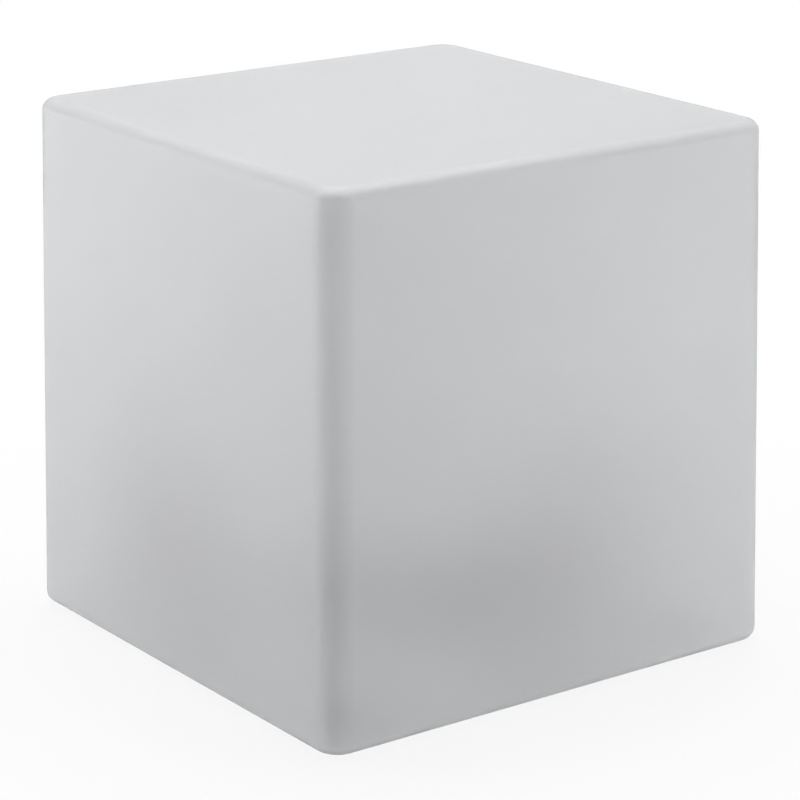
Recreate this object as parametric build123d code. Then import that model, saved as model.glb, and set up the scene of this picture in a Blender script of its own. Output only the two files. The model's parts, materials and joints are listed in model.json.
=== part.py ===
from build123d import *
import os
from math import cos, hypot, radians, sin, tan

# Cordless outdoor cube lamp. Millimetres, +Z up, origin on the floor under the middle of the cube.
# The cube is one hollow moulding of translucent polyethylene. A sealed light unit is screwed up
# into a round recess in its underside and reaches through a hole in the recess roof.

# Diffuser cube
CUBE_SIDE = 400.0
CUBE_HEIGHT = 400.0
DRAFT_ANGLE = 1.0
CORNER_RADIUS = 20.0
RIM_RADIUS = 9.0
SHELL_WALL = 4.0
RECESS_DEPTH = 30.0
RECESS_MARGIN = 6.0
RECESS_LIP_RADIUS = 6.0
RECESS_ROOT_RADIUS = 4.0

# Rubber feet
FOOT_RADIUS = 15.0
FOOT_PROUD = 2.5
FOOT_SEAT_DEPTH = 2.0
FOOT_CLEARANCE = 0.2
FOOT_INSET = 50.0
FOOT_EDGE_ROUND = 0.8

# Flange of the light unit
FLANGE_WIDTH = 21.0
FLANGE_SCREW_COUNT = 6
FLANGE_SCREW_TURN = 30.0
FLANGE_SCREW_INSET = 8.0
PLATE_THICKNESS = 4.0
PLATE_EDGE_ROUND = 1.5
GASKET_THICKNESS = 2.0
GASKET_INSET = 1.0
WASHER_THICKNESS = 1.0
WASHER_MARGIN = 1.0
HOLE_CLEARANCE = 0.3

# Threaded inserts
INSERT_SPARE = 3.0
INSERT_WALL = 2.5
INSERT_GROOVE_DEPTH = 0.9
INSERT_GROOVE_WIDTH = 3.0
INSERT_CAP = 1.0
BOSS_WALL = 4.0
THREAD_CLEARANCE = 0.05

# Machine screws: flange screws are the large ones
LARGE_SCREW_RADIUS = 2.0
LARGE_SCREW_LENGTH = 15.0
LARGE_HEAD_RADIUS = 4.0
LARGE_HEAD_HEIGHT = 2.8
SMALL_SCREW_RADIUS = 1.5
SMALL_SCREW_LENGTH = 10.0
SMALL_HEAD_RADIUS = 2.75
SMALL_HEAD_HEIGHT = 1.9
SOCKET_SHARE = 0.55
PILOT_EXTRA = 1.0

# Barrel that reaches up into the cube
BARREL_WALL = 3.0
BARREL_ROOF = 3.0
BARREL_ROOM = 2.5
BARREL_ENTRY = 2.0
BARREL_HEADROOM = 14.0
BARREL_EDGE_ROUND = 1.5
BARREL_SCREW_COUNT = 4
BARREL_SCREW_TURN = 45.0
BARREL_BOSS_RADIUS = 4.5
BARREL_BOSS_HEIGHT = 18.0
BARREL_BOSS_BITE = 1.0
SEAL_WIDTH = 1.8
SEAL_DEPTH = 1.2

# Opal dome over the light source
DOME_HEIGHT = 41.0
DOME_WALL = 2.0
DOME_FLANGE_THICKNESS = 2.5
DOME_FLANGE_WIDTH = 13.0
DOME_SHOULDER = 7.0
DOME_SCREW_COUNT = 6
DOME_SCREW_INSET = 3.6
DOME_SEAL_INSET = 10.0
ROOF_BOSS_WALL = 2.0

# Light source
SPREADER_THICKNESS = 2.0
SPREADER_GAP = 2.5
LED_BOARD_THICKNESS = 1.6
LED_BOARD_INSET = 9.0
LED_SCREW_COUNT = 4
LED_SCREW_INSET = 4.0
LED_SIZE = 5.0
LED_HEIGHT = 1.6
LED_OUTER_COUNT = 12
LED_OUTER_INSET = 11.0
LED_INNER_COUNT = 6
LED_INNER_RADIUS = 20.0
TERMINAL_SIZE = 9.0
TERMINAL_HEIGHT = 4.0

# Rechargeable cells in their holder
CELL_DIAMETER = 18.4
CELL_LENGTH = 65.2
CELL_GAP = 0.8
CELL_CLEARANCE = 0.2
CELL_EDGE_ROUND = 1.0
HOLDER_WALL = 1.7
HOLDER_FLOOR = 1.5
HOLDER_HEIGHT = 12.0
HOLDER_RIDGE_DROP = 5.0
HOLDER_EAR_LENGTH = 9.0
HOLDER_EAR_WIDTH = 10.0
HOLDER_EAR_THICKNESS = 3.0
CONTACT_THICKNESS = 0.5
CONTACT_WIDTH = 9.0
CONTACT_TAB = 3.0
CLIP_WIDTH = 14.0
CLIP_THICKNESS = 1.2
CLIP_LIFT = 3.0
CLIP_HOOK_DEPTH = 0.8
CLIP_HOOK_HEIGHT = 1.5

# Control board and what is on it
BOARD_WIDTH = 64.0
BOARD_DEPTH = 58.0
BOARD_THICKNESS = 1.6
BOARD_BACK = 8.0
BOARD_CORNER = 2.0
BOARD_STANDOFF = 12.0
BOARD_HOLE_INSET = 5.0
BOARD_TO_HOLDER = 7.4
STANDOFF_RADIUS = 3.5
INNER_SCREW_RADIUS = 1.25
INNER_SCREW_LENGTH = 6.0
INNER_HEAD_RADIUS = 2.3
INNER_HEAD_HEIGHT = 1.6
LEAD_SOCKET_DEPTH = 6.0
LEAD_SOCKET_HEIGHT = 6.0
LEAD_PITCH = 2.5
LEAD_SOCKET_RIM = 2.75
BATTERY_SOCKET_SIDE = 21.0
BATTERY_SOCKET_BACK = 11.0
LED_SOCKET_SIDE = 16.0
PROCESSOR_SIZE = 7.0
PROCESSOR_HEIGHT = 1.2
COIL_SIZE = 8.0
COIL_HEIGHT = 4.0
CHARGER_SIZE = 5.0
CHARGER_HEIGHT = 1.5
RADIO_WIDTH = 18.0
RADIO_DEPTH = 12.0
RADIO_HEIGHT = 2.4
CAPACITOR_RADIUS = 3.15
CAPACITOR_HEIGHT = 7.0
CAPACITOR_PITCH = 8.0
COMPONENT_SIDE = 16.0
COMPONENT_ROW = 12.0

# Power button and the switch above it
BUTTON_RADIUS = 9.0
BUTTON_PROUD = 1.2
BUTTON_TRAVEL = 0.5
BUTTON_CLEARANCE = 0.25
BUTTON_LIP = 2.0
BUTTON_LIP_THICKNESS = 1.5
BUTTON_STEM_RADIUS = 2.5
BUTTON_EDGE_ROUND = 0.8
BUTTON_DISH_RADIUS = 6.5
BUTTON_DISH_DEPTH = 0.5
BUTTON_SEAL_WIDTH = 1.6
BUTTON_SEAL_DEPTH = 1.0
BUTTON_SEAL_GAP = 0.05
COLLAR_WALL = 2.0
COLLAR_HEIGHT = 3.5
SWITCH_SIZE = 6.0
SWITCH_HEIGHT = 3.5
PLUNGER_RADIUS = 1.7
PLUNGER_REACH = 1.2
PLUNGER_SEAT = 1.5
PLUNGER_CLEARANCE = 0.1

# Charging socket, its opening and its cover
PORT_FROM_BUTTON = 30.0
PORT_WIDTH = 14.0
PORT_DEPTH = 9.0
SOCKET_WIDTH = 9.2
SOCKET_THICKNESS = 3.4
SOCKET_HEIGHT = 9.0
SOCKET_WALL = 0.4
SOCKET_FLOOR = 1.5
TONGUE_WIDTH = 6.6
TONGUE_THICKNESS = 0.7
TONGUE_SETBACK = 1.0
COVER_THICKNESS = 2.2
COVER_GAP = 0.3
COVER_WIDTH = 20.0
COVER_RIM = 4.5
COVER_CORNER = 5.0
COVER_PLUG_HEIGHT = 1.5
COVER_PLUG_GAP = 0.9
HINGE_SET = 5.0
KNUCKLE_RADIUS = 2.3
KNUCKLE_LENGTH = 13.6
KNUCKLE_GAP = 0.4
LUG_WIDTH = 3.0
LUG_GAP = 0.9
PIN_RADIUS = 1.0
PIN_RUNNING_GAP = 0.05

# Small fittings in the base plate and the barrel roof
PIPE_RADIUS = 1.5
PIPE_LIP = 1.1
PIPE_LIP_THICKNESS = 1.0
PIPE_FROM_BUTTON = 17.0
STATUS_LED_WIDTH = 3.0
STATUS_LED_DEPTH = 2.0
STATUS_LED_HEIGHT = 0.9
STATUS_LED_GAP = 0.3
VENT_STEM_RADIUS = 4.0
VENT_HEAD_RADIUS = 7.0
VENT_HEAD_HEIGHT = 2.6
VENT_LIP = 0.8
VENT_LIP_THICKNESS = 1.2
VENT_SLOT_WIDTH = 1.2
VENT_SLOT_COUNT = 4
VENT_BESIDE_BOARD = 14.0
GROMMET_RADIUS = 7.5
GROMMET_GROOVE_DEPTH = 1.5
GROMMET_LIP = 1.2
GROMMET_GAP = 0.5

# Leads inside the unit
BATTERY_LEAD_RADIUS = 0.8
LED_LEAD_RADIUS = 1.0
LEAD_CLEARANCE = 0.2
LEAD_CREST_DROP = 5.0
LEAD_BEND = 4.6

# Levels above the floor
LEAN = radians(DRAFT_ANGLE)
SHELL_LOW = FOOT_PROUD
RECESS_ROOF = SHELL_LOW + RECESS_DEPTH
RECESS_ROOF_TOP = RECESS_ROOF + SHELL_WALL
PLATE_TOP = RECESS_ROOF - GASKET_THICKNESS
PLATE_LOW = PLATE_TOP - PLATE_THICKNESS
BOARD_LOW = PLATE_TOP + BOARD_STANDOFF
BOARD_TOP = BOARD_LOW + BOARD_THICKNESS
CELL_RADIUS = CELL_DIAMETER / 2
CELL_AXIS = PLATE_TOP + HOLDER_FLOOR + CELL_CLEARANCE + CELL_RADIUS
HOLDER_TOP = PLATE_TOP + HOLDER_HEIGHT
CLIP_UNDER = CELL_AXIS + CELL_RADIUS + CELL_CLEARANCE
CLIP_TOP = CLIP_UNDER + CLIP_THICKNESS
BARREL_CEILING = CLIP_TOP + BARREL_HEADROOM
BARREL_TOP = BARREL_CEILING + BARREL_ROOF
SPREADER_TOP = BARREL_TOP + SPREADER_THICKNESS
LED_BOARD_TOP = SPREADER_TOP + LED_BOARD_THICKNESS
DOME_SPRING = BARREL_TOP + DOME_FLANGE_THICKNESS
SWITCH_LOW = BOARD_LOW - SWITCH_HEIGHT
PLUNGER_LOW = SWITCH_LOW - PLUNGER_REACH
LEAD_CREST = BARREL_CEILING - LEAD_CREST_DROP
FLANGE_STACK = WASHER_THICKNESS + PLATE_THICKNESS + GASKET_THICKNESS
INSERT_LENGTH = LARGE_SCREW_LENGTH - FLANGE_STACK + INSERT_SPARE + INSERT_CAP

# Plan of the light unit
BOARD_MIDDLE = BOARD_BACK - BOARD_DEPTH / 2
CELL_PITCH = CELL_DIAMETER + CELL_GAP
CRADLE_RADIUS = CELL_RADIUS + CELL_CLEARANCE
CRADLE_LENGTH = CELL_LENGTH + 2 * CONTACT_THICKNESS
HOLDER_LENGTH = CRADLE_LENGTH + 2 * HOLDER_WALL
HOLDER_WIDTH = CELL_PITCH + 2 * CRADLE_RADIUS + 2 * HOLDER_WALL
HOLDER_NEAR = BOARD_BACK + BOARD_TO_HOLDER
HOLDER_MIDDLE = HOLDER_NEAR + HOLDER_WIDTH / 2
HOLDER_FAR = HOLDER_NEAR + HOLDER_WIDTH
HOLDER_REACH = hypot(HOLDER_LENGTH / 2, HOLDER_FAR)
BOARD_REACH = hypot(BOARD_WIDTH / 2, BOARD_DEPTH - BOARD_BACK)
BARREL_BORE = max(HOLDER_REACH, BOARD_REACH) + BARREL_ROOM
BARREL_RADIUS = BARREL_BORE + BARREL_WALL
ENTRY_RADIUS = BARREL_RADIUS + BARREL_ENTRY
PLATE_RADIUS = ENTRY_RADIUS + FLANGE_WIDTH
RECESS_RADIUS = PLATE_RADIUS + RECESS_MARGIN
FLANGE_SCREW_CIRCLE = PLATE_RADIUS - FLANGE_SCREW_INSET
BARREL_SCREW_CIRCLE = BARREL_BORE + BARREL_BOSS_BITE - BARREL_BOSS_RADIUS
DOME_SCREW_CIRCLE = BARREL_RADIUS - DOME_SCREW_INSET
DOME_FLANGE_BORE = BARREL_RADIUS - DOME_FLANGE_WIDTH
DOME_FOOT_RADIUS = BARREL_RADIUS - DOME_SHOULDER
DOME_SEAL_RADIUS = BARREL_RADIUS - DOME_SEAL_INSET
BARREL_SEAL_RADIUS = BARREL_RADIUS - BARREL_WALL / 2
SPREADER_RADIUS = DOME_FLANGE_BORE - SPREADER_GAP
LED_BOARD_RADIUS = SPREADER_RADIUS - LED_BOARD_INSET
LED_SCREW_CIRCLE = LED_BOARD_RADIUS - LED_SCREW_INSET
LED_OUTER_RADIUS = LED_BOARD_RADIUS - LED_OUTER_INSET
PORT_Y = -PORT_FROM_BUTTON
PIPE_Y = -PIPE_FROM_BUTTON
HINGE_Y = PORT_Y - PORT_DEPTH / 2 - COVER_RIM - HINGE_SET
HINGE_Z = PLATE_LOW - COVER_GAP - KNUCKLE_RADIUS
BUTTON_BORE = BUTTON_RADIUS + BUTTON_CLEARANCE
LIP_RADIUS = BUTTON_RADIUS + BUTTON_LIP
LIP_BORE = LIP_RADIUS + BUTTON_CLEARANCE
INSERT_RADIUS = LARGE_SCREW_RADIUS + INSERT_WALL
LED_LEAD_HOLE = LED_LEAD_RADIUS + LEAD_CLEARANCE

STANDING = (Align.CENTER, Align.CENTER, Align.MIN)
SAME_SIZE = 0.01


def post(radius, low, high, at=(0.0, 0.0)):
    """Upright round solid between two levels."""
    return Pos(at[0], at[1], low) * Cylinder(radius, high - low, align=STANDING)


def ring(outer, inner, low, high, at=(0.0, 0.0)):
    """Upright ring between two levels."""
    return post(outer, low, high, at) - post(inner, low, high, at)


def slab(width, depth, low, high, at=(0.0, 0.0)):
    """Upright rectangular solid between two levels."""
    return Pos(at[0], at[1], low) * Box(width, depth, high - low, align=STANDING)


def slot(width, depth, low, high, at=(0.0, 0.0)):
    """Upright solid with round ends between two levels."""
    return extrude(Pos(at[0], at[1], low) * SlotOverall(width, depth), high - low)


def round_circle(count, radius, first=0.0):
    """Places evenly spaced round the axis of the lamp."""
    turns = [radians(first + 360.0 * step / count) for step in range(count)]
    return [(radius * cos(turn), radius * sin(turn)) for turn in turns]


def round_top(solid, radius):
    """The solid with its highest edges rounded."""
    return fillet(solid.edges().group_by(Axis.Z)[-1], radius)


def round_foot(solid, radius):
    """The solid with its lowest edges rounded."""
    return fillet(solid.edges().group_by(Axis.Z)[0], radius)


def group(solids):
    """Separate solids kept together as one named piece."""
    return Compound(children=[part.solid() for part in solids])


# Places that several pieces share
FLANGE_SCREW_PLACES = round_circle(FLANGE_SCREW_COUNT, FLANGE_SCREW_CIRCLE, FLANGE_SCREW_TURN)
BARREL_SCREW_PLACES = round_circle(BARREL_SCREW_COUNT, BARREL_SCREW_CIRCLE, BARREL_SCREW_TURN)
DOME_SCREW_PLACES = round_circle(DOME_SCREW_COUNT, DOME_SCREW_CIRCLE)
LED_SCREW_PLACES = round_circle(LED_SCREW_COUNT, LED_SCREW_CIRCLE)
FOOT_OFFSET = CUBE_SIDE / 2 - FOOT_INSET
FOOT_PLACES = [(x, y) for x in (-FOOT_OFFSET, FOOT_OFFSET) for y in (-FOOT_OFFSET, FOOT_OFFSET)]
BOARD_HOLE_X = BOARD_WIDTH / 2 - BOARD_HOLE_INSET
BOARD_HOLE_Y = BOARD_DEPTH / 2 - BOARD_HOLE_INSET
BOARD_SCREW_PLACES = [
    (x, BOARD_MIDDLE + y) for x in (-BOARD_HOLE_X, BOARD_HOLE_X) for y in (-BOARD_HOLE_Y, BOARD_HOLE_Y)
]
EAR_X = HOLDER_LENGTH / 2 + HOLDER_EAR_LENGTH / 2
EAR_SCREW_PLACES = [(x, HOLDER_MIDDLE) for x in (-EAR_X, EAR_X)]
CELL_ROWS = [HOLDER_MIDDLE - CELL_PITCH / 2, HOLDER_MIDDLE + CELL_PITCH / 2]
VENT_PLACE = (BOARD_WIDTH / 2 + VENT_BESIDE_BOARD, BOARD_MIDDLE)
BATTERY_SOCKET_PLACE = (-BATTERY_SOCKET_SIDE, BOARD_BACK - BATTERY_SOCKET_BACK)
LED_SOCKET_PLACE = (LED_SOCKET_SIDE, BOARD_MIDDLE)


# Diffuser cube
def cube_form(inset):
    """The drafted cube with rounded uprights and rims, or the same form drawn in by a wall."""
    low = SHELL_LOW + inset
    high = CUBE_HEIGHT - inset
    foot = CUBE_SIDE - 2 * inset * (1 / cos(LEAN) + tan(LEAN))
    cube = extrude(Pos(0, 0, low) * Rectangle(foot, foot), high - low, taper=DRAFT_ANGLE)
    uprights = cube.edges().group_by(Axis.Z)[1]
    cube = fillet(uprights, CORNER_RADIUS - inset)
    rims = cube.faces().filter_by(Axis.Z).edges()
    return fillet(rims, RIM_RADIUS - inset)


def insert_form(place):
    """Outside of one threaded insert, with the groove that locks it in the moulding."""
    top = RECESS_ROOF + INSERT_LENGTH
    groove_low = RECESS_ROOF + (INSERT_LENGTH - INSERT_GROOVE_WIDTH) / 2
    neck = INSERT_RADIUS - INSERT_GROOVE_DEPTH
    groove = ring(INSERT_RADIUS, neck, groove_low, groove_low + INSERT_GROOVE_WIDTH, place)
    return post(INSERT_RADIUS, RECESS_ROOF, top, place) - groove


def circles_at(solid, radius, level):
    """Round edges of one radius at one level."""
    rounds = solid.edges().filter_by(GeomType.CIRCLE)
    rounds = rounds.filter_by(lambda edge: abs(edge.radius - radius) < SAME_SIZE)
    return rounds.filter_by(lambda edge: abs(edge.center().Z - level) < SAME_SIZE)


def make_diffuser_shell():
    """Hollow cube whose wall turns up into the underside to make the recess for the light unit."""
    shell = cube_form(0.0) - cube_form(SHELL_WALL)
    cup = post(RECESS_RADIUS + SHELL_WALL, SHELL_LOW, RECESS_ROOF_TOP)
    cup = round_top(cup, RECESS_ROOT_RADIUS + SHELL_WALL)
    void = round_top(post(RECESS_RADIUS, SHELL_LOW, RECESS_ROOF), RECESS_ROOT_RADIUS)
    shell = shell + cup - void - post(ENTRY_RADIUS, RECESS_ROOF, RECESS_ROOF_TOP)
    shell = fillet(circles_at(shell, RECESS_RADIUS, SHELL_LOW), RECESS_LIP_RADIUS)
    boss_radius = INSERT_RADIUS + BOSS_WALL
    boss_top = RECESS_ROOF + INSERT_LENGTH + BOSS_WALL
    for place in FLANGE_SCREW_PLACES:
        shell = shell + post(boss_radius, RECESS_ROOF_TOP, boss_top, place) - insert_form(place)
    seat_top = SHELL_LOW + FOOT_SEAT_DEPTH
    seat_radius = FOOT_RADIUS + FOOT_CLEARANCE
    for place in FOOT_PLACES:
        pad = post(seat_radius + SHELL_WALL, SHELL_LOW + SHELL_WALL, seat_top + SHELL_WALL, place)
        shell = shell + pad - post(seat_radius, SHELL_LOW, seat_top, place)
    return shell


def make_threaded_inserts():
    """Brass inserts, closed at the top, flush with the recess roof."""
    bore = LARGE_SCREW_RADIUS + THREAD_CLEARANCE
    bore_top = RECESS_ROOF + INSERT_LENGTH - INSERT_CAP
    bores = [post(bore, RECESS_ROOF, bore_top, place) for place in FLANGE_SCREW_PLACES]
    forms = [insert_form(place) for place in FLANGE_SCREW_PLACES]
    return group(form - hole for form, hole in zip(forms, bores))


def make_rubber_feet():
    """Four round pads pressed into their seats."""
    top = SHELL_LOW + FOOT_SEAT_DEPTH
    return group(round_foot(post(FOOT_RADIUS, 0.0, top, place), FOOT_EDGE_ROUND) for place in FOOT_PLACES)


# Screws and washers
def screw(radius, length, head_radius, head_height, place, seat, points_up):
    """Cap screw whose head bears on the seat level and whose shank points up or down from it."""
    head = Cylinder(head_radius, head_height, align=STANDING)
    head = round_top(head, head_height * (1 - SOCKET_SHARE))
    shank = post(radius, -length, 0.0)
    depth = head_height * SOCKET_SHARE
    hexagon = Pos(0, 0, head_height - depth) * RegularPolygon(radius, 6)
    body = head + shank - extrude(hexagon, depth)
    if points_up:
        body = Rot(180, 0, 0) * body
    return Pos(place[0], place[1], seat) * body


def large_screw(place, seat):
    """Flange screw, head down, driven up from under the lamp."""
    size = (LARGE_SCREW_RADIUS, LARGE_SCREW_LENGTH, LARGE_HEAD_RADIUS, LARGE_HEAD_HEIGHT)
    return screw(*size, place, seat, True)


def small_screw(place, seat, points_up):
    """Screw of the barrel, the dome and the light source."""
    size = (SMALL_SCREW_RADIUS, SMALL_SCREW_LENGTH, SMALL_HEAD_RADIUS, SMALL_HEAD_HEIGHT)
    return screw(*size, place, seat, points_up)


def inner_screw(place, seat):
    """Screw of the control board and the battery holder."""
    size = (INNER_SCREW_RADIUS, INNER_SCREW_LENGTH, INNER_HEAD_RADIUS, INNER_HEAD_HEIGHT)
    return screw(*size, place, seat, False)


def make_flange_screws():
    """Screws that pull the light unit up against the recess roof."""
    return group(large_screw(place, PLATE_LOW - WASHER_THICKNESS) for place in FLANGE_SCREW_PLACES)


def make_barrel_screws():
    """Screws that hold the base plate to the barrel."""
    return group(small_screw(place, PLATE_LOW - WASHER_THICKNESS, True) for place in BARREL_SCREW_PLACES)


def make_sealing_washers():
    """Rubber washers under every screw head on the outside of the base plate."""
    low = PLATE_LOW - WASHER_THICKNESS
    large = LARGE_HEAD_RADIUS + WASHER_MARGIN
    small = SMALL_HEAD_RADIUS + WASHER_MARGIN
    washers = [ring(large, LARGE_SCREW_RADIUS, low, PLATE_LOW, place) for place in FLANGE_SCREW_PLACES]
    washers += [ring(small, SMALL_SCREW_RADIUS, low, PLATE_LOW, place) for place in BARREL_SCREW_PLACES]
    return group(washers)


# Base plate and what seals it
def make_base_gasket():
    """Flat ring between the flange and the recess roof."""
    gasket = ring(PLATE_RADIUS - GASKET_INSET, ENTRY_RADIUS, PLATE_TOP, RECESS_ROOF)
    hole = LARGE_SCREW_RADIUS + HOLE_CLEARANCE
    for place in FLANGE_SCREW_PLACES:
        gasket = gasket - post(hole, PLATE_TOP, RECESS_ROOF, place)
    return gasket


def hinge_lugs():
    """Pair of ears under the base plate that hold the cover pin."""
    reach = KNUCKLE_LENGTH / 2 + KNUCKLE_GAP + LUG_WIDTH / 2
    ear = slab(LUG_WIDTH, 2 * KNUCKLE_RADIUS, HINGE_Z, PLATE_LOW, (0.0, HINGE_Y))
    ear = ear + Pos(0, HINGE_Y, HINGE_Z) * Rot(0, 90, 0) * Cylinder(KNUCKLE_RADIUS, LUG_WIDTH)
    ear = ear - Pos(0, HINGE_Y, HINGE_Z) * Rot(0, 90, 0) * Cylinder(PIN_RADIUS, LUG_WIDTH)
    return [Pos(-reach, 0, 0) * ear, Pos(reach, 0, 0) * ear]


def make_base_plate():
    """Flanged plate with the button bore, the charging opening, standoffs and the cover's hinge ears."""
    plate = round_foot(post(PLATE_RADIUS, PLATE_LOW, PLATE_TOP), PLATE_EDGE_ROUND)
    collar = ring(LIP_BORE + COLLAR_WALL, LIP_BORE, PLATE_TOP, PLATE_TOP + COLLAR_HEIGHT)
    plate = plate + collar + hinge_lugs()
    plate = plate - post(BUTTON_BORE, PLATE_LOW, PLATE_TOP)
    plate = plate - slot(PORT_WIDTH, PORT_DEPTH, PLATE_LOW, PLATE_TOP, (0.0, PORT_Y))
    plate = plate - post(PIPE_RADIUS, PLATE_LOW, PLATE_TOP, (0.0, PIPE_Y))
    plate = plate - post(VENT_STEM_RADIUS, PLATE_LOW, PLATE_TOP, VENT_PLACE)
    groove = SEAL_WIDTH / 2
    plate = plate - ring(
        BARREL_SEAL_RADIUS + groove, BARREL_SEAL_RADIUS - groove, PLATE_TOP - SEAL_DEPTH, PLATE_TOP
    )
    for place in FLANGE_SCREW_PLACES:
        plate = plate - post(LARGE_SCREW_RADIUS + HOLE_CLEARANCE, PLATE_LOW, PLATE_TOP, place)
    for place in BARREL_SCREW_PLACES:
        plate = plate - post(SMALL_SCREW_RADIUS + HOLE_CLEARANCE, PLATE_LOW, PLATE_TOP, place)
    board_point = BOARD_TOP - INNER_SCREW_LENGTH
    for place in BOARD_SCREW_PLACES:
        plate = plate + post(STANDOFF_RADIUS, PLATE_TOP, BOARD_LOW, place)
        plate = plate - post(INNER_SCREW_RADIUS, board_point, BOARD_LOW, place)
    ear_point = PLATE_TOP + HOLDER_EAR_THICKNESS - INNER_SCREW_LENGTH
    for place in EAR_SCREW_PLACES:
        plate = plate - post(INNER_SCREW_RADIUS, ear_point, PLATE_TOP, place)
    return plate


def make_barrel_seal():
    """Ring in the base plate's groove, under the barrel's rim."""
    half = SEAL_WIDTH / 2
    return ring(BARREL_SEAL_RADIUS + half, BARREL_SEAL_RADIUS - half, PLATE_TOP - SEAL_DEPTH, PLATE_TOP)


# Barrel and dome
def make_light_barrel():
    """Inverted cup over the cells and the control board; its roof carries the light source and the dome."""
    barrel = round_top(post(BARREL_RADIUS, PLATE_TOP, BARREL_TOP), BARREL_EDGE_ROUND)
    barrel = barrel - post(BARREL_BORE, PLATE_TOP, BARREL_CEILING)
    bore = SMALL_SCREW_RADIUS + THREAD_CLEARANCE
    barrel_point = PLATE_LOW - WASHER_THICKNESS + SMALL_SCREW_LENGTH + PILOT_EXTRA
    for place in BARREL_SCREW_PLACES:
        barrel = barrel + post(BARREL_BOSS_RADIUS, PLATE_TOP, PLATE_TOP + BARREL_BOSS_HEIGHT, place)
        barrel = barrel - post(bore, PLATE_TOP, barrel_point, place)
    boss_low = BARREL_TOP - SMALL_SCREW_LENGTH - PILOT_EXTRA
    for place in DOME_SCREW_PLACES + LED_SCREW_PLACES:
        boss = post(SMALL_SCREW_RADIUS + ROOF_BOSS_WALL, boss_low, BARREL_CEILING, place)
        barrel = barrel + (boss & post(BARREL_BORE, boss_low, BARREL_CEILING))
        barrel = barrel - post(bore, boss_low + PILOT_EXTRA, BARREL_TOP, place)
    half = SEAL_WIDTH / 2
    groove_low = BARREL_TOP - SEAL_DEPTH
    barrel = barrel - ring(DOME_SEAL_RADIUS + half, DOME_SEAL_RADIUS - half, groove_low, BARREL_TOP)
    return barrel - post(GROMMET_RADIUS - GROMMET_GROOVE_DEPTH, BARREL_CEILING, BARREL_TOP)


def make_light_dome():
    """Opal cap: a screwed flange with a shallow part of a sphere on it."""
    sphere = (DOME_FOOT_RADIUS**2 + DOME_HEIGHT**2) / (2 * DOME_HEIGHT)
    middle = DOME_SPRING + DOME_HEIGHT - sphere
    ball = Pos(0, 0, middle) * Sphere(sphere)
    hollow = Pos(0, 0, middle) * Sphere(sphere - DOME_WALL)
    above = post(BARREL_RADIUS, BARREL_TOP + DOME_FLANGE_THICKNESS, DOME_SPRING + DOME_HEIGHT)
    flange = ring(BARREL_RADIUS, DOME_FLANGE_BORE, BARREL_TOP, DOME_SPRING)
    for place in DOME_SCREW_PLACES:
        flange = flange - post(SMALL_SCREW_RADIUS + HOLE_CLEARANCE, BARREL_TOP, DOME_SPRING, place)
    return flange + (ball & above) - (hollow & above)


def make_dome_seal():
    """Ring in the barrel roof's groove, under the dome's flange."""
    half = SEAL_WIDTH / 2
    return ring(DOME_SEAL_RADIUS + half, DOME_SEAL_RADIUS - half, BARREL_TOP - SEAL_DEPTH, BARREL_TOP)


def make_dome_screws():
    """Screws through the dome's flange into the barrel roof."""
    return group(small_screw(place, DOME_SPRING, False) for place in DOME_SCREW_PLACES)


# Light source
def make_heat_spreader():
    """Aluminium disc that takes the heat of the light source, open round the grommet."""
    spreader = ring(SPREADER_RADIUS, GROMMET_RADIUS + GROMMET_GAP, BARREL_TOP, SPREADER_TOP)
    for place in LED_SCREW_PLACES:
        spreader = spreader - post(SMALL_SCREW_RADIUS + HOLE_CLEARANCE, BARREL_TOP, SPREADER_TOP, place)
    return spreader


def make_led_board():
    """Round board of the light source."""
    board = ring(LED_BOARD_RADIUS, LED_LEAD_HOLE, SPREADER_TOP, LED_BOARD_TOP)
    for place in LED_SCREW_PLACES:
        board = board - post(SMALL_SCREW_RADIUS + HOLE_CLEARANCE, SPREADER_TOP, LED_BOARD_TOP, place)
    return board


def make_led_chips():
    """Two rings of light-emitting packages."""
    half_step = 180.0 / LED_OUTER_COUNT
    places = round_circle(LED_OUTER_COUNT, LED_OUTER_RADIUS, half_step)
    places += round_circle(LED_INNER_COUNT, LED_INNER_RADIUS)
    top = LED_BOARD_TOP + LED_HEIGHT
    return group(slab(LED_SIZE, LED_SIZE, LED_BOARD_TOP, top, place) for place in places)


def make_led_screws():
    """Screws through the board and the spreader into the barrel roof."""
    return group(small_screw(place, LED_BOARD_TOP, False) for place in LED_SCREW_PLACES)


def make_led_terminal():
    """Terminal block over the lead hole in the middle of the board."""
    return slab(TERMINAL_SIZE, TERMINAL_SIZE, LED_BOARD_TOP, LED_BOARD_TOP + TERMINAL_HEIGHT)


# Cells and their holder
def lying_cylinder(radius, length, row, level):
    """Round solid along X."""
    return Pos(0, row, level) * Rot(0, 90, 0) * Cylinder(radius, length)


def make_battery_cells():
    """Two cells side by side."""
    cells = [lying_cylinder(CELL_RADIUS, CELL_LENGTH, row, CELL_AXIS) for row in CELL_ROWS]
    return group(fillet(cell.edges().filter_by(GeomType.CIRCLE), CELL_EDGE_ROUND) for cell in cells)


def clip_hooks():
    """Hooks of the clip, which the holder's long walls have slots for."""
    low = PLATE_TOP + CLIP_LIFT
    near = HOLDER_NEAR + CLIP_HOOK_DEPTH / 2
    far = HOLDER_FAR - CLIP_HOOK_DEPTH / 2
    return [slab(CLIP_WIDTH, CLIP_HOOK_DEPTH, low, low + CLIP_HOOK_HEIGHT, (0.0, y)) for y in (near, far)]


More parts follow.
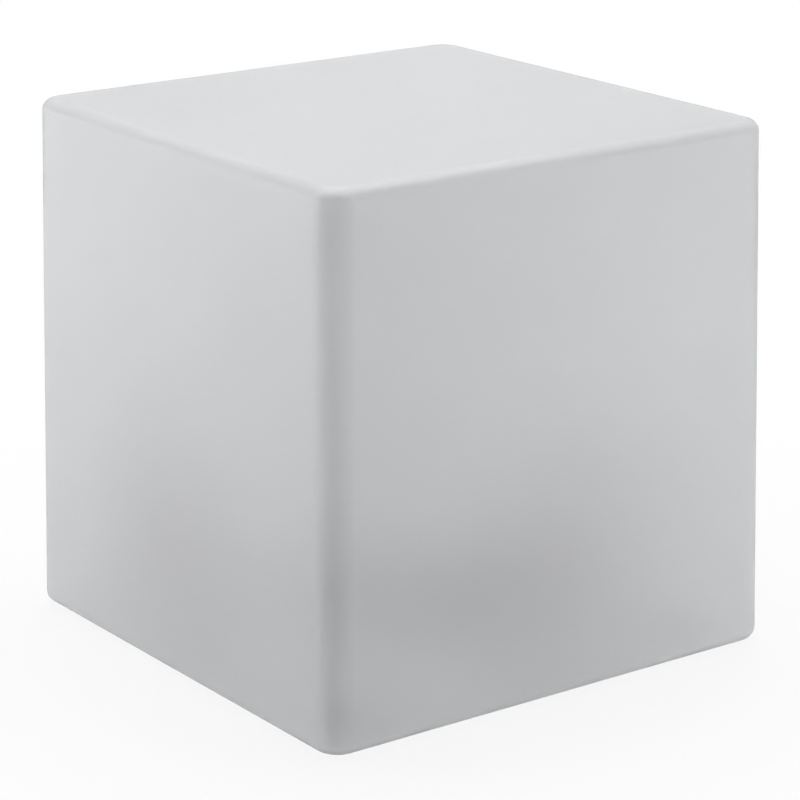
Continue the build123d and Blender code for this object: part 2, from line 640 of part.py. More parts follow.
def make_battery_holder():
    """Cradle for two cells, with an ear at each end for its screw."""
    middle = (0.0, HOLDER_MIDDLE)
    holder = slab(HOLDER_LENGTH, HOLDER_WIDTH, PLATE_TOP, HOLDER_TOP, middle)
    ear_span = HOLDER_LENGTH + 2 * HOLDER_EAR_LENGTH
    ear_top = PLATE_TOP + HOLDER_EAR_THICKNESS
    holder = holder + slab(ear_span, HOLDER_EAR_WIDTH, PLATE_TOP, ear_top, middle)
    for row in CELL_ROWS:
        holder = holder - lying_cylinder(CRADLE_RADIUS, CRADLE_LENGTH, row, CELL_AXIS)
    holder = holder - slab(CRADLE_LENGTH, CELL_PITCH, CELL_AXIS - HOLDER_RIDGE_DROP, HOLDER_TOP, middle)
    for place in EAR_SCREW_PLACES:
        holder = holder - post(INNER_SCREW_RADIUS, PLATE_TOP, ear_top, place)
    return holder - clip_hooks()


def make_battery_contacts():
    """Nickel plates at the cell ends: two with tabs for the leads, and one that joins the cells."""
    reach = (CELL_LENGTH + CONTACT_THICKNESS) / 2
    low = CELL_AXIS - HOLDER_RIDGE_DROP
    tab_top = HOLDER_TOP + CONTACT_TAB
    plates = [slab(CONTACT_THICKNESS, CONTACT_WIDTH, low, tab_top, (-reach, row)) for row in CELL_ROWS]
    link = slab(CONTACT_THICKNESS, CELL_PITCH + CONTACT_WIDTH, low, HOLDER_TOP, (reach, HOLDER_MIDDLE))
    return group(plates + [link])


def make_battery_clip():
    """Band over the cells that hooks into the holder's walls."""
    outer = HOLDER_WIDTH + 2 * CLIP_THICKNESS
    middle = (0.0, HOLDER_MIDDLE)
    band = slab(CLIP_WIDTH, outer, PLATE_TOP + CLIP_LIFT, CLIP_TOP, middle)
    band = band - slab(CLIP_WIDTH, HOLDER_WIDTH, PLATE_TOP + CLIP_LIFT, CLIP_UNDER, middle)
    return band + clip_hooks()


# Control board
def make_control_board():
    """Board on the standoffs, with rounded corners."""
    middle = Pos(0, BOARD_MIDDLE, BOARD_LOW)
    board = extrude(middle * RectangleRounded(BOARD_WIDTH, BOARD_DEPTH, BOARD_CORNER), BOARD_THICKNESS)
    for place in BOARD_SCREW_PLACES:
        board = board - post(INNER_SCREW_RADIUS + HOLE_CLEARANCE, BOARD_LOW, BOARD_TOP, place)
    return board


def make_board_components():
    """Chips, coil, capacitors and radio on top, and the status light underneath."""
    row = BOARD_MIDDLE - COMPONENT_ROW
    middle = (0.0, BOARD_MIDDLE)
    processor = slab(PROCESSOR_SIZE, PROCESSOR_SIZE, BOARD_TOP, BOARD_TOP + PROCESSOR_HEIGHT, middle)
    coil = slab(COIL_SIZE, COIL_SIZE, BOARD_TOP, BOARD_TOP + COIL_HEIGHT, (-COMPONENT_SIDE, row))
    charger_place = (-COMPONENT_SIDE, BOARD_MIDDLE)
    charger = slab(CHARGER_SIZE, CHARGER_SIZE, BOARD_TOP, BOARD_TOP + CHARGER_HEIGHT, charger_place)
    radio = slab(RADIO_WIDTH, RADIO_DEPTH, BOARD_TOP, BOARD_TOP + RADIO_HEIGHT, (COMPONENT_SIDE / 2, row))
    back = BOARD_BACK - BOARD_HOLE_INSET
    places = [(-CAPACITOR_PITCH / 2, back), (CAPACITOR_PITCH / 2, back)]
    capacitors = [post(CAPACITOR_RADIUS, BOARD_TOP, BOARD_TOP + CAPACITOR_HEIGHT, place) for place in places]
    light = slab(STATUS_LED_WIDTH, STATUS_LED_DEPTH, BOARD_LOW - STATUS_LED_HEIGHT, BOARD_LOW, (0.0, PIPE_Y))
    return group([processor, coil, charger, radio, light] + capacitors)


def make_board_screws():
    """Screws of the board and of the holder's ears, all alike."""
    screws = [inner_screw(place, BOARD_TOP) for place in BOARD_SCREW_PLACES]
    screws += [inner_screw(place, PLATE_TOP + HOLDER_EAR_THICKNESS) for place in EAR_SCREW_PLACES]
    return group(screws)


def make_lead_sockets():
    """Two sockets on the board that the leads plug into from above."""
    top = BOARD_TOP + LEAD_SOCKET_HEIGHT
    width = LEAD_PITCH + 2 * LEAD_SOCKET_RIM
    places = [BATTERY_SOCKET_PLACE, LED_SOCKET_PLACE]
    return group(slab(width, LEAD_SOCKET_DEPTH, BOARD_TOP, top, place) for place in places)


# Power button
def make_tact_switch():
    """Switch under the board, with a bore that its plunger slides in."""
    depth = PLUNGER_SEAT + BUTTON_TRAVEL + PLUNGER_CLEARANCE
    body = slab(SWITCH_SIZE, SWITCH_SIZE, SWITCH_LOW, BOARD_LOW)
    return body - post(PLUNGER_RADIUS + PLUNGER_CLEARANCE, SWITCH_LOW, SWITCH_LOW + depth)


def make_switch_plunger():
    """Plunger of the switch, carried by the button's stem."""
    return post(PLUNGER_RADIUS, PLUNGER_LOW, SWITCH_LOW + PLUNGER_SEAT)


def seal_levels():
    """Bottom and top of the button's seal, half way through the base plate."""
    low = PLATE_LOW + (PLATE_THICKNESS - BUTTON_SEAL_WIDTH) / 2
    return low, low + BUTTON_SEAL_WIDTH


def make_power_button():
    """Push button with a dished face, a lip that keeps it in the plate, and a stem up to the switch."""
    face = PLATE_LOW - BUTTON_PROUD
    cap = round_foot(post(BUTTON_RADIUS, face, PLATE_TOP), BUTTON_EDGE_ROUND)
    ball = (BUTTON_DISH_RADIUS**2 + BUTTON_DISH_DEPTH**2) / (2 * BUTTON_DISH_DEPTH)
    cap = cap - Pos(0, 0, face + BUTTON_DISH_DEPTH - ball) * Sphere(ball)
    low, high = seal_levels()
    cap = cap - ring(BUTTON_RADIUS, BUTTON_RADIUS - BUTTON_SEAL_DEPTH, low, high)
    lip_top = PLATE_TOP + BUTTON_LIP_THICKNESS
    return cap + post(LIP_RADIUS, PLATE_TOP, lip_top) + post(BUTTON_STEM_RADIUS, lip_top, PLUNGER_LOW)


def make_button_seal():
    """Ring in the button's groove that wipes the bore."""
    low, high = seal_levels()
    return ring(BUTTON_BORE - BUTTON_SEAL_GAP, BUTTON_RADIUS - BUTTON_SEAL_DEPTH, low, high)


# Charging socket and cover
def make_charging_socket():
    """Upright charging socket under the board, open downwards, with its tongue."""
    low = BOARD_LOW - SOCKET_HEIGHT
    place = (0.0, PORT_Y)
    roof = BOARD_LOW - SOCKET_FLOOR
    shell = slot(SOCKET_WIDTH, SOCKET_THICKNESS, low, BOARD_LOW, place)
    shell = shell - slot(SOCKET_WIDTH - 2 * SOCKET_WALL, SOCKET_THICKNESS - 2 * SOCKET_WALL, low, roof, place)
    return shell + slab(TONGUE_WIDTH, TONGUE_THICKNESS, low + TONGUE_SETBACK, roof, place)


def make_charging_cover():
    """Flap under the charging opening, with a plug that fills it and a knuckle on the pin."""
    top = PLATE_LOW - COVER_GAP
    low = top - COVER_THICKNESS
    back = HINGE_Y + KNUCKLE_RADIUS + LUG_GAP
    front = PORT_Y + PORT_DEPTH / 2 + COVER_RIM
    middle = (back + front) / 2
    plan = Rectangle(COVER_WIDTH, front - back)
    plan = fillet(plan.vertices().group_by(Axis.Y)[-1], COVER_CORNER)
    flap = extrude(Pos(0, middle, low) * plan, COVER_THICKNESS)
    flap = flap + slab(KNUCKLE_LENGTH, back - HINGE_Y, low, top, (0.0, (back + HINGE_Y) / 2))
    flap = flap + lying_cylinder(KNUCKLE_RADIUS, KNUCKLE_LENGTH, HINGE_Y, HINGE_Z)
    flap = flap - lying_cylinder(PIN_RADIUS + PIN_RUNNING_GAP, KNUCKLE_LENGTH, HINGE_Y, HINGE_Z)
    plug_width = PORT_WIDTH - 2 * COVER_PLUG_GAP
    plug_depth = PORT_DEPTH - 2 * COVER_PLUG_GAP
    return flap + slot(plug_width, plug_depth, top, top + COVER_PLUG_HEIGHT, (0.0, PORT_Y))


def make_cover_pin():
    """Pin of the cover's hinge, tight in the two ears."""
    return lying_cylinder(PIN_RADIUS, KNUCKLE_LENGTH + 2 * KNUCKLE_GAP + 2 * LUG_WIDTH, HINGE_Y, HINGE_Z)


# Small fittings
def make_status_light_pipe():
    """Clear rod that carries the status light down to the underside."""
    place = (0.0, PIPE_Y)
    top = BOARD_LOW - STATUS_LED_HEIGHT - STATUS_LED_GAP
    lip = post(PIPE_RADIUS + PIPE_LIP, PLATE_TOP, PLATE_TOP + PIPE_LIP_THICKNESS, place)
    return post(PIPE_RADIUS, PLATE_LOW, top, place) + lip


def make_breather_vent():
    """Pressure vent clipped into the base plate, with slots round its head."""
    low = PLATE_LOW - VENT_HEAD_HEIGHT
    vent = post(VENT_HEAD_RADIUS, low, PLATE_LOW, VENT_PLACE)
    vent = vent + post(VENT_STEM_RADIUS, PLATE_LOW, PLATE_TOP, VENT_PLACE)
    lip = post(VENT_STEM_RADIUS + VENT_LIP, PLATE_TOP, PLATE_TOP + VENT_LIP_THICKNESS, VENT_PLACE)
    notch = Pos(VENT_HEAD_RADIUS, 0, PLATE_LOW - VENT_HEAD_HEIGHT / 4)
    notch = notch * Box(VENT_HEAD_RADIUS - VENT_STEM_RADIUS, VENT_SLOT_WIDTH, VENT_HEAD_HEIGHT / 2)
    vent = vent + lip
    for step in range(VENT_SLOT_COUNT):
        vent = vent - Pos(VENT_PLACE[0], VENT_PLACE[1], 0) * Rot(0, 0, 360 * step / VENT_SLOT_COUNT) * notch
    return vent


def make_lead_grommet():
    """Rubber grommet in the barrel roof that the lead of the light source passes through."""
    groove = GROMMET_RADIUS - GROMMET_GROOVE_DEPTH
    grommet = post(GROMMET_RADIUS, BARREL_CEILING - GROMMET_LIP, BARREL_TOP + GROMMET_LIP)
    grommet = grommet - ring(GROMMET_RADIUS, groove, BARREL_CEILING, BARREL_TOP)
    return grommet - post(LED_LEAD_HOLE, BARREL_CEILING - GROMMET_LIP, BARREL_TOP + GROMMET_LIP)


# Leads inside the unit
def lead(points, radius):
    """Round lead along straight runs joined by arcs."""
    path = FilletPolyline(*points, radius=LEAD_BEND)
    return sweep(Plane(path @ 0, z_dir=path % 0) * Circle(radius), path)


def make_battery_leads():
    """Two leads from the contact tabs over to the battery socket on the board."""
    start_x = -(CELL_LENGTH / 2 + LEAD_CLEARANCE + BATTERY_LEAD_RADIUS)
    start_z = HOLDER_TOP + CONTACT_TAB
    socket_x, socket_y = BATTERY_SOCKET_PLACE
    socket_top = BOARD_TOP + LEAD_SOCKET_HEIGHT
    leads = []
    for row, side in zip(CELL_ROWS, (-0.5, 0.5)):
        end_x = socket_x + side * LEAD_PITCH
        points = [(start_x, row, start_z), (start_x, row, LEAD_CREST)]
        points += [(end_x, socket_y, LEAD_CREST), (end_x, socket_y, socket_top)]
        leads.append(lead(points, BATTERY_LEAD_RADIUS))
    return group(leads)


def make_led_lead():
    """Lead from the board up through the grommet to the terminal of the light source."""
    x, y = LED_SOCKET_PLACE
    start = (x, y, BOARD_TOP + LEAD_SOCKET_HEIGHT)
    return lead([start, (x, y, LEAD_CREST), (0, 0, LEAD_CREST), (0, 0, LED_BOARD_TOP)], LED_LEAD_RADIUS)


PIECES = {
    "diffuser_shell": make_diffuser_shell,
    "threaded_inserts": make_threaded_inserts,
    "rubber_feet": make_rubber_feet,
    "base_gasket": make_base_gasket,
    "base_plate": make_base_plate,
    "flange_screws": make_flange_screws,
    "sealing_washers": make_sealing_washers,
    "light_barrel": make_light_barrel,
    "barrel_seal": make_barrel_seal,
    "barrel_screws": make_barrel_screws,
    "light_dome": make_light_dome,
    "dome_seal": make_dome_seal,
    "dome_screws": make_dome_screws,
    "heat_spreader": make_heat_spreader,
    "led_board": make_led_board,
    "led_chips": make_led_chips,
    "led_screws": make_led_screws,
    "led_terminal": make_led_terminal,
    "control_board": make_control_board,
    "board_components": make_board_components,
    "board_screws": make_board_screws,
    "lead_sockets": make_lead_sockets,
    "tact_switch": make_tact_switch,
    "switch_plunger": make_switch_plunger,
    "power_button": make_power_button,
    "button_seal": make_button_seal,
    "charging_socket": make_charging_socket,
    "charging_cover": make_charging_cover,
    "cover_pin": make_cover_pin,
    "battery_cells": make_battery_cells,
    "battery_holder": make_battery_holder,
    "battery_contacts": make_battery_contacts,
    "battery_clip": make_battery_clip,
    "status_light_pipe": make_status_light_pipe,
    "breather_vent": make_breather_vent,
    "lead_grommet": make_lead_grommet,
    "battery_leads": make_battery_leads,
    "led_lead": make_led_lead,
}

os.makedirs("parts", exist_ok=True)
for name, make in PIECES.items():
    export_step(make(), os.path.join("parts", name + ".step"))
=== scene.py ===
# %% [markdown]
# # A cube lamp of white polyethylene, switched off
# The lamp is one hollow moulded cube with a sealed light unit screwed into a round recess in its underside.
# The solids already have their true shapes, so this lesson is about finishes and light.
# The main lesson is the skin: a wall 4 mm thick that lets light through, so that the light unit inside shows as a
# soft shadow.

import json
import math

import bpy
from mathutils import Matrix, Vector

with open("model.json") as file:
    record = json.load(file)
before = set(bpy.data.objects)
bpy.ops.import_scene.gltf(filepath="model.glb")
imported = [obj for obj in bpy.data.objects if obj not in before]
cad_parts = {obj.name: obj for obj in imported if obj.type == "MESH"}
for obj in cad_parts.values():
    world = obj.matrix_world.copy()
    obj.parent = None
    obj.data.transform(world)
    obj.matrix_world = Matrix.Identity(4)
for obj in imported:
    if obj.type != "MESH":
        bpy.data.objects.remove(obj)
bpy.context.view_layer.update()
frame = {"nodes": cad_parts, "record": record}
nodes = frame["nodes"]

# %% [markdown]
# ## Small helpers
# Colours are written as sRGB hex values, the way a colour picker shows them, while shaders work in linear light.
# Pattern sizes are written in millimetres: a noise texture's scale is the number of its cells in a metre.
# Materials are built from nodes, and one function adds a node, sets its values and links its inputs.
# The floor and the room look white but give the lamp less light than that, so another function tells the rays that
# look from the rays that only bring light.


# %% Colour, scale and node helpers
def linear(hex_colour):
    """An sRGB hex colour as linear red, green, blue and alpha."""
    parts = [int(hex_colour[i:i + 2], 16) / 255 for i in (1, 3, 5)]
    return [c / 12.92 if c <= 0.04045 else ((c + 0.055) / 1.055) ** 2.4 for c in parts] + [1.0]


def cells_of(size_mm):
    """The texture scale whose cells are about this many millimetres wide."""
    return 1000.0 / size_mm


def add_node(tree, kind, settings=None, links=None):
    """Adds a node. Settings are its input values or its own options, and links are the sockets its inputs come from."""
    node = tree.nodes.new(kind)
    for name, value in (settings or {}).items():
        if isinstance(name, int) or name in node.inputs:
            node.inputs[name].default_value = value
        else:
            setattr(node, name, value)
    for name, socket in (links or {}).items():
        tree.links.new(socket, node.inputs[name])
    return node


def start_material(name):
    """An empty node material, and the node that gives object coordinates in metres."""
    material = bpy.data.materials.new(name)
    material.use_nodes = True
    tree = material.node_tree
    tree.nodes.clear()
    place = add_node(tree, "ShaderNodeTexCoord").outputs["Object"]
    return material, tree, place


def end_material(material, tree, shader):
    """Links the shader to the material's output."""
    add_node(tree, "ShaderNodeOutputMaterial", links={"Surface": shader.outputs[0]})
    print("material:", material.name)
    return material


def looking_rays(tree):
    """A socket that is 1 for the rays of the camera, of mirrors and through clear pieces, and 0 for all others."""
    rays = add_node(tree, "ShaderNodeLightPath")
    looking = add_node(tree, "ShaderNodeMath", {"operation": "MAXIMUM"},
                       {0: rays.outputs["Is Camera Ray"], 1: rays.outputs["Is Glossy Ray"]})
    looking = add_node(tree, "ShaderNodeMath", {"operation": "MAXIMUM"},
                       {0: looking.outputs[0], 1: rays.outputs["Is Transmission Ray"]})
    return looking.outputs[0]


# %% [markdown]
# ## The skin
# Rotomoulded polyethylene with a little white pigment: a satin, waxy wall that turns a part of the light back and
# lets the rest through, scattered on its way.
# It could be a plain white surface with a painted shadow, but then the lamp would look dead from other sides.
# So the wall is a mix of two things that happen in it: a diffuse white, and a rough transmission through both faces
# of the real 4 mm wall, which blurs what stands behind.
# The studio's light comes in through the far walls, and the dark light unit shows as a soft shadow.
# Rendered so, that shadow is a little fainter than in the photograph, so a faint darker patch in the colour of each
# of the four walls, at the light unit's height, adds the rest.
# The wall's thickness drifts a little in moulding, which gives faint clouds of colour some 90 mm wide, and it ripples
# as it cools, in waves of some 28 mm.
# The blasted mould leaves a satin grain of a tenth of a millimetre, drawn at 1.5 mm so that it shows at all.

# %% Rotomoulded polyethylene
LIGHT_LET_THROUGH = 0.7
WALL_DARK, WALL_LIGHT, WALL_PAINTED_SHADOW = linear("#edeeef"), linear("#f1f2f3"), linear("#e6e6e7")
CLOUD_MM, RIPPLE_MM, SATIN_MM = 90, 28, 1.5
# The painted shadow of the light unit: the height of the patch's middle and its reach, in metres.
SHADE_HEIGHT, SHADE_REACH = 0.095, 0.145


def rotomoulded_polyethylene():
    """A milky, satin white that lets light through, with no sharp highlight anywhere."""
    material, tree, place = start_material("rotomoulded_polyethylene")
    clouds = add_node(tree, "ShaderNodeTexNoise", {"Scale": cells_of(CLOUD_MM), "Detail": 2.0, "Roughness": 0.5},
                      {"Vector": place})
    colour = add_node(tree, "ShaderNodeMix", {"data_type": "RGBA", 6: WALL_DARK, 7: WALL_LIGHT},
                      {0: clouds.outputs["Fac"]})
    # Painted shadow: the mask is 1 at the light unit's height on each of the four walls and fades to 0 further out.
    sides = add_node(tree, "ShaderNodeVectorMath", {"operation": "ABSOLUTE"}, {0: place})
    sides = add_node(tree, "ShaderNodeSeparateXYZ", links={0: sides.outputs[0]})
    along = add_node(tree, "ShaderNodeMath", {"operation": "MINIMUM"}, {0: sides.outputs["X"], 1: sides.outputs["Y"]})
    spot = add_node(tree, "ShaderNodeCombineXYZ", links={"X": along.outputs[0], "Z": sides.outputs["Z"]})
    reach = add_node(tree, "ShaderNodeVectorMath", {"operation": "DISTANCE", 1: (0.0, 0.0, SHADE_HEIGHT)},
                     {0: spot.outputs[0]})
    shade = add_node(tree, "ShaderNodeMapRange",
                     {"interpolation_type": "SMOOTHSTEP", "From Max": SHADE_REACH, "To Min": 1.0, "To Max": 0.0},
                     {"Value": reach.outputs["Value"]})
    # Painted shadow: the wall's colour is mixed towards a darker grey where the mask is high.
    colour = add_node(tree, "ShaderNodeMix", {"data_type": "RGBA", 7: WALL_PAINTED_SHADOW},
                      {0: shade.outputs["Result"], 6: colour.outputs[2]})
    grain = add_node(tree, "ShaderNodeTexNoise", {"Scale": cells_of(SATIN_MM), "Detail": 2.0}, {"Vector": place})
    satin = add_node(tree, "ShaderNodeMapRange", {"To Min": 0.46, "To Max": 0.56}, {"Value": grain.outputs["Fac"]})
    ripple = add_node(tree, "ShaderNodeTexNoise", {"Scale": cells_of(RIPPLE_MM), "Detail": 1.0}, {"Vector": place})
    waves = add_node(tree, "ShaderNodeBump", {"Strength": 0.12, "Distance": 0.0004},
                     {"Height": ripple.outputs["Fac"]})
    surface = add_node(tree, "ShaderNodeBump", {"Strength": 0.10, "Distance": 0.00008},
                       {"Height": grain.outputs["Fac"], "Normal": waves.outputs["Normal"]})
    skin = add_node(tree, "ShaderNodeBsdfPrincipled", {"IOR": 1.51, "Transmission Weight": LIGHT_LET_THROUGH},
                    {"Base Color": colour.outputs[2], "Roughness": satin.outputs["Result"],
                     "Normal": surface.outputs["Normal"]})
    return end_material(material, tree, skin)


# %% [markdown]
# ## The plain mouldings
# Most of the light unit is moulded: a textured base, rubber feet and seals, nylon sockets and epoxy packages.
# Each could have its own material, but they differ only in colour, gloss and grain, so one recipe serves them all:
# two close colours mixed by a soft noise, and a fine noise for the grain that changes the bump and the roughness.
# A real moulded grain is about a tenth of a millimetre, too fine to show, so it is drawn at 0.5 to 2 mm.


# %% One recipe for moulded pieces
def moulded(name, dark, light, roughness, ior, grain_mm, depth_mm):
    """A material of two close colours with a grain. The sizes are in millimetres."""
    material, tree, place = start_material(name)
    drift = add_node(tree, "ShaderNodeTexNoise", {"Scale": cells_of(grain_mm * 12), "Detail": 3.0},
                     {"Vector": place})
    colour = add_node(tree, "ShaderNodeMix", {"data_type": "RGBA", 6: linear(dark), 7: linear(light)},
                      {0: drift.outputs["Fac"]})
    grain = add_node(tree, "ShaderNodeTexNoise", {"Scale": cells_of(grain_mm), "Detail": 2.0}, {"Vector": place})
    gloss = add_node(tree, "ShaderNodeMapRange", {"To Min": roughness - 0.06, "To Max": roughness + 0.06},
                     {"Value": grain.outputs["Fac"]})
    surface = add_node(tree, "ShaderNodeBump", {"Strength": 0.6, "Distance": depth_mm / 1000},
                       {"Height": grain.outputs["Fac"]})
    shader = add_node(tree, "ShaderNodeBsdfPrincipled", {"IOR": ior},
                      {"Base Color": colour.outputs[2], "Roughness": gloss.outputs["Result"],
                       "Normal": surface.outputs["Normal"]})
    return end_material(material, tree, shader)


# %% [markdown]
# ## The metals
# Screws, inserts, contacts and the heat spreader are turned, plated or rolled.
# What the eye sees is fine lines left by the tool, so a noise stretched along one direction drives the roughness and
# a shallow bump.
# Real tool lines are some hundredths of a millimetre apart, so they too are drawn coarser, at 0.4 to 0.6 mm.


# %% One recipe for worked metal
def worked_metal(name, dark, light, roughness, line_mm, stretch, depth_mm):
    """A bare metal with tool lines. The lines are longest along the axis with the smallest stretch."""
    material, tree, place = start_material(name)
    along = add_node(tree, "ShaderNodeMapping", {"Scale": stretch}, {"Vector": place})
    lines = add_node(tree, "ShaderNodeTexNoise", {"Scale": cells_of(line_mm), "Detail": 3.0},
                     {"Vector": along.outputs["Vector"]})
    colour = add_node(tree, "ShaderNodeMix", {"data_type": "RGBA", 6: linear(dark), 7: linear(light)},
                      {0: lines.outputs["Fac"]})
    gloss = add_node(tree, "ShaderNodeMapRange", {"To Min": roughness - 0.08, "To Max": roughness + 0.08},
                     {"Value": lines.outputs["Fac"]})
    surface = add_node(tree, "ShaderNodeBump", {"Strength": 0.5, "Distance": depth_mm / 1000},
                       {"Height": lines.outputs["Fac"]})
    shader = add_node(tree, "ShaderNodeBsdfPrincipled", {"Metallic": 1.0},
                      {"Base Color": colour.outputs[2], "Roughness": gloss.outputs["Result"],
                       "Normal": surface.outputs["Normal"]})
    return end_material(material, tree, shader)


# %% [markdown]
# ## The light unit's clear and milky pieces
# The dome over the light source is opal polycarbonate. It is thin and never seen clearly through the skin, so light
# scattered under its surface is enough, with a glossier face than the skin has.
# The little light pipe beside the button is clear acrylic with a frosted end. Wholly clear, it would vanish in the
# dark plate, so three quarters of the light go through it and the frost turns the rest back, as a pale dot.


# %% Opal and clear plastics
def opal_polycarbonate():
    """A milky white with a soft gloss."""
    material, tree, place = start_material("opal_polycarbonate")
    haze = add_node(tree, "ShaderNodeTexNoise", {"Scale": cells_of(18), "Detail": 2.0}, {"Vector": place})
    colour = add_node(tree, "ShaderNodeMix", {"data_type": "RGBA", 6: linear("#ecebe8"), 7: linear("#f2f1ee")},
                      {0: haze.outputs["Fac"]})
    frost = add_node(tree, "ShaderNodeMapRange", {"To Min": 0.24, "To Max": 0.34}, {"Value": haze.outputs["Fac"]})
    shader = add_node(tree, "ShaderNodeBsdfPrincipled",
                      {"IOR": 1.585, "Subsurface Weight": 1.0, "Subsurface Radius": (1.0, 0.97, 0.93),
                       "Subsurface Scale": 0.003},
                      {"Base Color": colour.outputs[2], "Roughness": frost.outputs["Result"]})
    return end_material(material, tree, shader)


def clear_acrylic():
    """Clear, with a frost of 0.6 mm that takes the edge off its reflections and turns a quarter of the light back."""
    material, tree, place = start_material("clear_acrylic")
    frost = add_node(tree, "ShaderNodeTexNoise", {"Scale": cells_of(0.6), "Detail": 2.0}, {"Vector": place})
    gloss = add_node(tree, "ShaderNodeMapRange", {"To Min": 0.05, "To Max": 0.18}, {"Value": frost.outputs["Fac"]})
    shader = add_node(tree, "ShaderNodeBsdfPrincipled",
                      {"Base Color": linear("#f4f8fa"), "IOR": 1.49, "Transmission Weight": 0.75},
                      {"Roughness": gloss.outputs["Result"]})
    return end_material(material, tree, shader)


# %% [markdown]
# ## A finish for each piece
# Each piece of the lamp names a slot, which is the stuff it is made of. The table gives each slot its material, so a
# change of one line changes every piece of that stuff.
# The light unit's own case is dark, because its shadow in the photograph is.

# %% Give each slot its finish
FINISHES = {
    # A milky satin white.
    "polyethylene_skin": rotomoulded_polyethylene(),
    # A warm yellow metal with fine turned lines.
    "brass": worked_metal("turned_brass", "#b0863c", "#cfa65a", 0.32, 0.5, (1.0, 1.0, 0.2), 0.02),
    # A dull black that hardly shines.
    "foot_rubber": moulded("moulded_rubber", "#1c1c1d", "#2a2a2b", 0.78, 1.52, 0.7, 0.05),
    # A soft, waxy pale grey.
    "silicone_seal": moulded("moulded_silicone", "#a9abad", "#b6b8ba", 0.55, 1.41, 0.8, 0.02),
    # A near black with the sparkle of a spark-textured mould.
    "base_plastic": moulded("spark_textured_abs", "#242526", "#2d2e2f", 0.56, 1.54, 0.7, 0.05),
    # A bright grey metal, smooth from the heading die.
    "stainless_screw": worked_metal("cold_headed_stainless", "#b9b9bb", "#cfcfd0", 0.30, 0.4, (1.0, 1.0, 0.3), 0.01),
    # A milky white with a soft gloss.
    "opal_plastic": opal_polycarbonate(),
    # A pale metal with long rolling lines.
    "aluminium_plate": worked_metal("rolled_aluminium", "#c6c8ca", "#dcdddf", 0.38, 0.5, (0.06, 1.0, 1.0), 0.01),
    # A smooth white lacquer.
    "white_board": moulded("white_solder_mask", "#ebebe8", "#f1f1ee", 0.36, 1.55, 0.9, 0.01),
    # A deep yellow gel.
    "led_package": moulded("phosphor_silicone", "#e2b938", "#efcf58", 0.30, 1.45, 0.5, 0.02),
    # A creamy white with a low sheen.
    "white_nylon": moulded("moulded_nylon", "#dedbd1", "#e9e6dd", 0.50, 1.53, 0.8, 0.02),
    # A glossy green lacquer.
    "green_board": moulded("green_solder_mask", "#0f5a2a", "#177a3a", 0.34, 1.55, 0.9, 0.01),
    # A flat black.
    "black_component": moulded("moulded_epoxy", "#222324", "#303132", 0.52, 1.56, 0.5, 0.02),
    # A matt middle grey.
    "button_plastic": moulded("matt_grey_abs", "#8a8c8e", "#989a9c", 0.58, 1.54, 0.6, 0.04),
    # A faintly warm, bright metal.
    "nickel_plate": worked_metal("nickel_plate", "#bfb8ab", "#d3ccc0", 0.24, 0.6, (1.0, 0.2, 1.0), 0.008),
    # A dull grey, a little darker than the button.
    "cover_rubber": moulded("moulded_cover_rubber", "#727376", "#808184", 0.72, 1.50, 0.7, 0.04),
    # A shiny blue film.
    "cell_sleeve": moulded("shrink_sleeve", "#1d4690", "#2a58a8", 0.28, 1.54, 2.0, 0.02),
    # Clear, with a pale, frosted end.
    "clear_acrylic": clear_acrylic(),
    # A smooth dark red.
    "lead_insulation": moulded("extruded_lead_insulation", "#8e1c1c", "#a82626", 0.45, 1.53, 0.8, 0.02),
}
for part in frame["record"]["subparts"]:
    nodes[part["node"]].material_slots[0].material = FINISHES[part["material_slot"]]
print("finishes:", len(FINISHES), "for", len(nodes), "nodes")

# %% [markdown]
# ## The studio
# Soft lamps stand above and at both sides of the cube, and none by the camera.
# So the top and the outer edges are light, the rounded edge towards the camera is the darkest, and light comes in
# through the top and the far walls.

# %% Soft lamps
MIDDLE = Vector((0.0, 0.0, 0.2))
# Each lamp's place and width in metres, and its power in watts.
LAMPS = {
    "top_soft": ((-0.3, 0.21, 2.1), 1.4, 31.0),
    "left_soft": ((-0.76, -0.92, 0.2), 0.7, 6.0),
    "right_soft": ((0.9, 0.65, 0.16), 0.4, 3.4),
}
for name, (place, size, power) in LAMPS.items():
    lamp = bpy.data.lights.new(name, "AREA")
    lamp.size = size
    lamp.energy = power
    holder = bpy.data.objects.new(name, lamp)
    holder.location = place
    holder.rotation_euler = (MIDDLE - Vector(place)).to_track_quat("-Z", "Y").to_euler()
    holder.visible_camera = False
    bpy.context.scene.collection.objects.link(holder)
print("lamps:", len(LAMPS))

# %% [markdown]
# ## Floor and background
# The floor is plain and pale. In the photograph it is white right up to the lamp, but with no shadow at all the lamp
# would float. So close to the lamp a small share of a real surface takes a faint shadow, and further out the floor
# fades into the white background.
# Only the looking rays see that white. The skin is lit by the real floor.

# %% Pale floor
WHITE = (1.0, 1.0, 1.0, 1.0)
FLOOR_RADIUS = 9.0
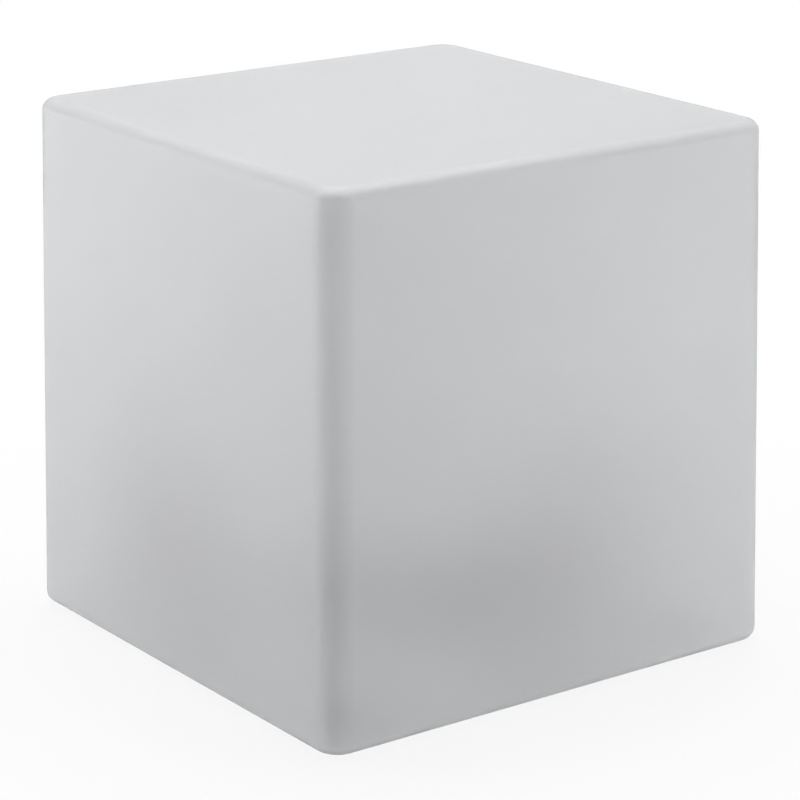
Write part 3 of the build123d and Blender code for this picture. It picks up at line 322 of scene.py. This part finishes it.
# Where the fade starts and ends, in metres from the lamp's middle, and the share of white at its start.
FADE_START, FADE_END, WHITE_AT_START = 0.27, 0.62, 0.87
bpy.ops.mesh.primitive_circle_add(vertices=96, radius=FLOOR_RADIUS, fill_type="NGON")
floor = bpy.context.object
floor.name = "floor"
paper, tree, place = start_material("pale_floor")
distance = add_node(tree, "ShaderNodeVectorMath", {"operation": "LENGTH"}, {0: place})
fade = add_node(tree, "ShaderNodeMapRange",
                {"From Min": FADE_START, "From Max": FADE_END, "To Min": WHITE_AT_START, "To Max": 1.0},
                {"Value": distance.outputs["Value"]})
share = add_node(tree, "ShaderNodeMath", {"operation": "MULTIPLY"},
                 {0: looking_rays(tree), 1: fade.outputs["Result"]})
real = add_node(tree, "ShaderNodeBsdfDiffuse", {"Color": linear("#f0f0f0")})
white = add_node(tree, "ShaderNodeEmission", {"Color": WHITE, "Strength": 1.0})
mixed = add_node(tree, "ShaderNodeMixShader", links={0: share.outputs[0], 1: real.outputs[0], 2: white.outputs[0]})
floor.data.materials.append(end_material(paper, tree, mixed))

# %% [markdown]
# ## The room
# A studio's pale walls send a little light from all around, which keeps the shaded edge from going black.
# A picture of a room could give it, but a plain white world is enough for so plain a lamp: dim where it lights, and
# white for the looking rays.

# %% White background and the room's own light
ROOM_LIGHT = 0.24
world = bpy.data.worlds.new("studio")
bpy.context.scene.world = world
world.use_nodes = True
tree = world.node_tree
tree.nodes.clear()
looking = looking_rays(tree)
room = add_node(tree, "ShaderNodeBackground", {"Color": WHITE, "Strength": ROOM_LIGHT})
white = add_node(tree, "ShaderNodeBackground", {"Color": WHITE, "Strength": 1.0})
mixed = add_node(tree, "ShaderNodeMixShader", links={0: looking, 1: room.outputs[0], 2: white.outputs[0]})
add_node(tree, "ShaderNodeOutputWorld", links={"Surface": mixed.outputs[0]})
print("room light:", ROOM_LIGHT)

# %% [markdown]
# ## The camera
# The cube is seen towards one upright edge, from a little above, with a long lens from 2.3 m.
# The angles and the lens were fitted to the cube's corners in the photograph, which is 800 pixels square.

# %% Camera
AZIMUTH, ELEVATION = math.radians(53.885), math.radians(16.964)
TARGET = Vector((0.00631, 0.0, 0.17833))
DISTANCE = 2.3308
SENSOR_MM, LENS_MM = 36.0, 139.88
back = Vector((math.sin(AZIMUTH) * math.cos(ELEVATION), -math.cos(AZIMUTH) * math.cos(ELEVATION),
               math.sin(ELEVATION)))
camera = bpy.data.objects.new("camera", bpy.data.cameras.new("camera"))
camera.data.sensor_width = SENSOR_MM
camera.data.lens = LENS_MM
camera.location = TARGET + DISTANCE * back
camera.rotation_euler = (-back).to_track_quat("-Z", "Y").to_euler()
bpy.context.scene.collection.objects.link(camera)
bpy.context.scene.camera = camera
bpy.context.scene.view_settings.view_transform = "Standard"
print("camera at", [round(x, 3) for x in camera.location])
